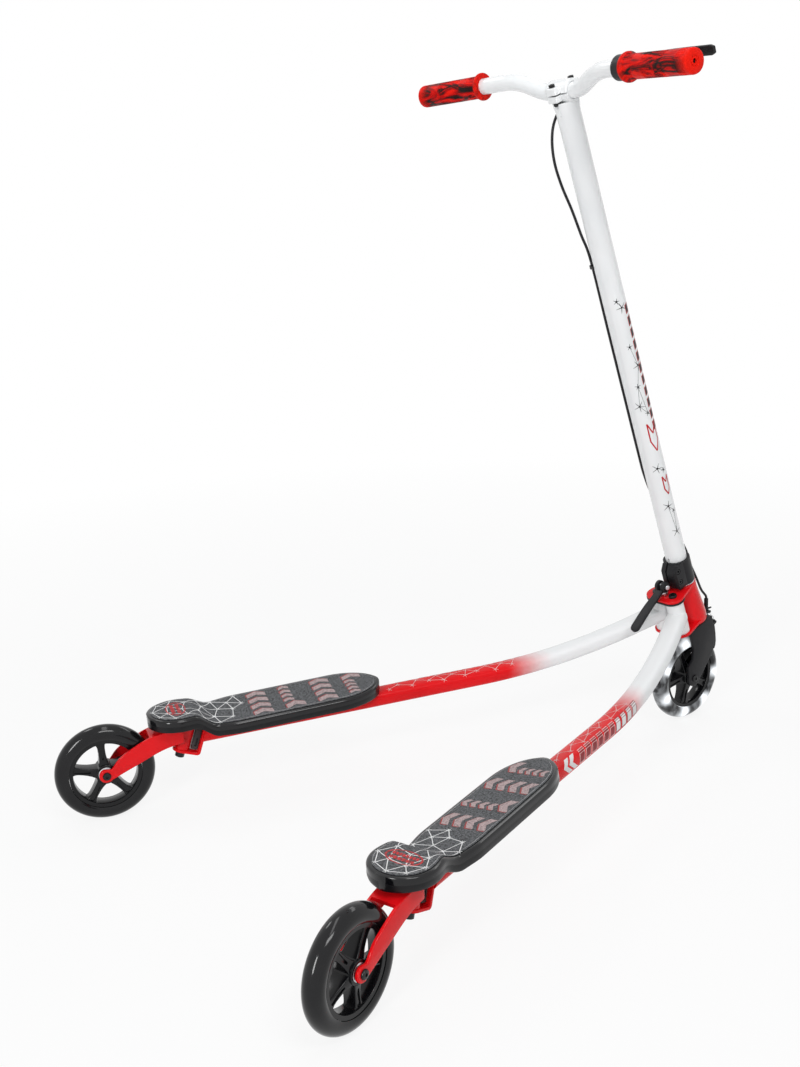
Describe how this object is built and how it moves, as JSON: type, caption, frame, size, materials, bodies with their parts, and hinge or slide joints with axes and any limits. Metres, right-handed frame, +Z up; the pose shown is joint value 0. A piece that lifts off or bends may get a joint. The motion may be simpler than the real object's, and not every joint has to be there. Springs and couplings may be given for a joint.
{
  "type": "carving scooter",
  "caption": "Stand-on carving scooter in a wedge stance: raked white stem on a lit front wheel, splayed hinged arms with foot decks, and caster wheels behind.",
  "frame": {"origin": "centre of the overall box at ground level", "axes": "+Z up, -Y forwards, +X towards the rider's left"},
  "size_m": [0.6956, 1.0357, 1.0289],
  "materials": {
    "red_paint": "glossy",
    "white_paint": "glossy",
    "black_paint": "satin",
    "black_steel": "satin",
    "steel": "bright",
    "gloss_black": "glossy",
    "rubber": "matte",
    "grip_rubber": "matte",
    "tape": "gritty",
    "tyre": "glossy",
    "clear_tyre": "glossy"
  },
  "bodies": {
    "frame": {"head_tube": "red_paint", "headset_upper": "steel", "headset_lower": "black_paint", "bracket_gasket": "rubber", "arm_pivot_bolt_left": "black_steel", "arm_pivot_bolt_right": "black_steel", "lock_rod": "steel", "lock_washer": "steel", "lock_pin": "steel"},
    "steering": {"stem": "white_paint", "stem_collar": "black_paint", "collar_bolt_lower": "black_steel", "collar_bolt_upper": "black_steel", "bar_clamp_cap": "white_paint", "clamp_bolt_front": "black_steel", "clamp_bolt_rear": "black_steel", "handlebar": "white_paint", "grip_left": "grip_rubber", "grip_right": "grip_rubber", "lever_bracket": "black_paint", "lever_pin": "steel", "cable_clip": "black_paint", "brake_cable": "rubber", "brake_wire": "steel", "brake_spring": "steel", "cable_adjuster": "black_paint", "fork": "black_paint", "brake_pin": "black_steel", "front_axle_bolt": "black_steel", "front_axle_nut": "steel"},
    "front_wheel": {"front_tyre": "clear_tyre", "front_wheel_core": "gloss_black", "front_bearings": "steel"},
    "brake_lever": {"brake_lever": "black_paint"},
    "brake_arm": {"brake_arm": "black_paint", "brake_pad": "rubber"},
    "lock_lever": {"lock_lever": "black_paint"},
    "arm_left": {"arm_left": "red_paint", "deck_left": "gloss_black", "grip_tape_left": "tape", "swivel_bolt_left": "black_steel", "caster_stop_left": "steel"},
    "caster_left": {"caster_fork_left": "red_paint", "rear_left_axle_bolt": "black_steel", "rear_left_axle_nut": "steel"},
    "rear_wheel_left": {"rear_tyre_left": "tyre", "rear_wheel_core_left": "gloss_black", "rear_bearings_left": "steel"},
    "arm_right": {"arm_right": "red_paint", "deck_right": "gloss_black", "grip_tape_right": "tape", "swivel_bolt_right": "black_steel", "caster_stop_right": "steel"},
    "caster_right": {"caster_fork_right": "red_paint", "rear_right_axle_bolt": "black_steel", "rear_right_axle_nut": "steel"},
    "rear_wheel_right": {"rear_tyre_right": "tyre", "rear_wheel_core_right": "gloss_black", "rear_bearings_right": "steel"}
  },
  "joints": [
    {"name": "steering", "type": "hinge", "parent": "frame", "child": "steering", "pos_m": [0, -0.44688, 0.20372], "axis": [0, 0.3196, 0.9475], "range_deg": [-50, 50]},
    {"name": "front_wheel_spin", "type": "hinge", "parent": "steering", "child": "front_wheel", "pos_m": [0, -0.4454, 0.0725], "axis": [1, 0, 0], "continuous": true},
    {"name": "brake_lever_pull", "type": "hinge", "parent": "steering", "child": "brake_lever", "pos_m": [-0.13445, -0.18227, 1.01806], "axis": [0, -0.3196, -0.9475], "range_deg": [0, 12], "stiffness_Nm_per_rad": 2, "springref_deg": -8.59},
    {"name": "brake_arm_press", "type": "hinge", "parent": "steering", "child": "brake_arm", "pos_m": [0, -0.50841, 0.15271], "axis": [1, 0, 0], "range_deg": [0, 2]},
    {"name": "lock_lever_turn", "type": "hinge", "parent": "frame", "child": "lock_lever", "pos_m": [0, -0.38872, 0.24004], "axis": [1, 0, 0], "range_deg": [0, 110]},
    {"name": "arm_left_swing", "type": "hinge", "parent": "frame", "child": "arm_left", "pos_m": [0.017, -0.40661, 0.19014], "axis": [0, 0.3196, 0.9475], "range_deg": [0, 16]},
    {"name": "arm_right_swing", "type": "hinge", "parent": "frame", "child": "arm_right", "pos_m": [-0.017, -0.40661, 0.19014], "axis": [0, -0.3196, -0.9475], "range_deg": [0, 16]},
    {"name": "caster_left_swivel", "type": "hinge", "parent": "arm_left", "child": "caster_left", "pos_m": [0.28295, 0.34198, 0.0837], "axis": [-0.0979, -0.3105, 0.9455], "range_deg": [-25, 25]},
    {"name": "caster_right_swivel", "type": "hinge", "parent": "arm_right", "child": "caster_right", "pos_m": [-0.28295, 0.34198, 0.0837], "axis": [0.0979, -0.3105, 0.9455], "range_deg": [-25, 25]},
    {"name": "rear_wheel_left_spin", "type": "hinge", "parent": "caster_left", "child": "rear_wheel_left", "pos_m": [0.3166, 0.4487, 0.0725], "axis": [0.9537, -0.3007, 0], "continuous": true},
    {"name": "rear_wheel_right_spin", "type": "hinge", "parent": "caster_right", "child": "rear_wheel_right", "pos_m": [-0.3166, 0.4487, 0.0725], "axis": [0.9537, 0.3007, 0], "continuous": true}
  ],
  "couplings": [
    {"joint": "brake_arm_press", "follows": "brake_lever_pull", "ratio": 0.16}
  ]
}
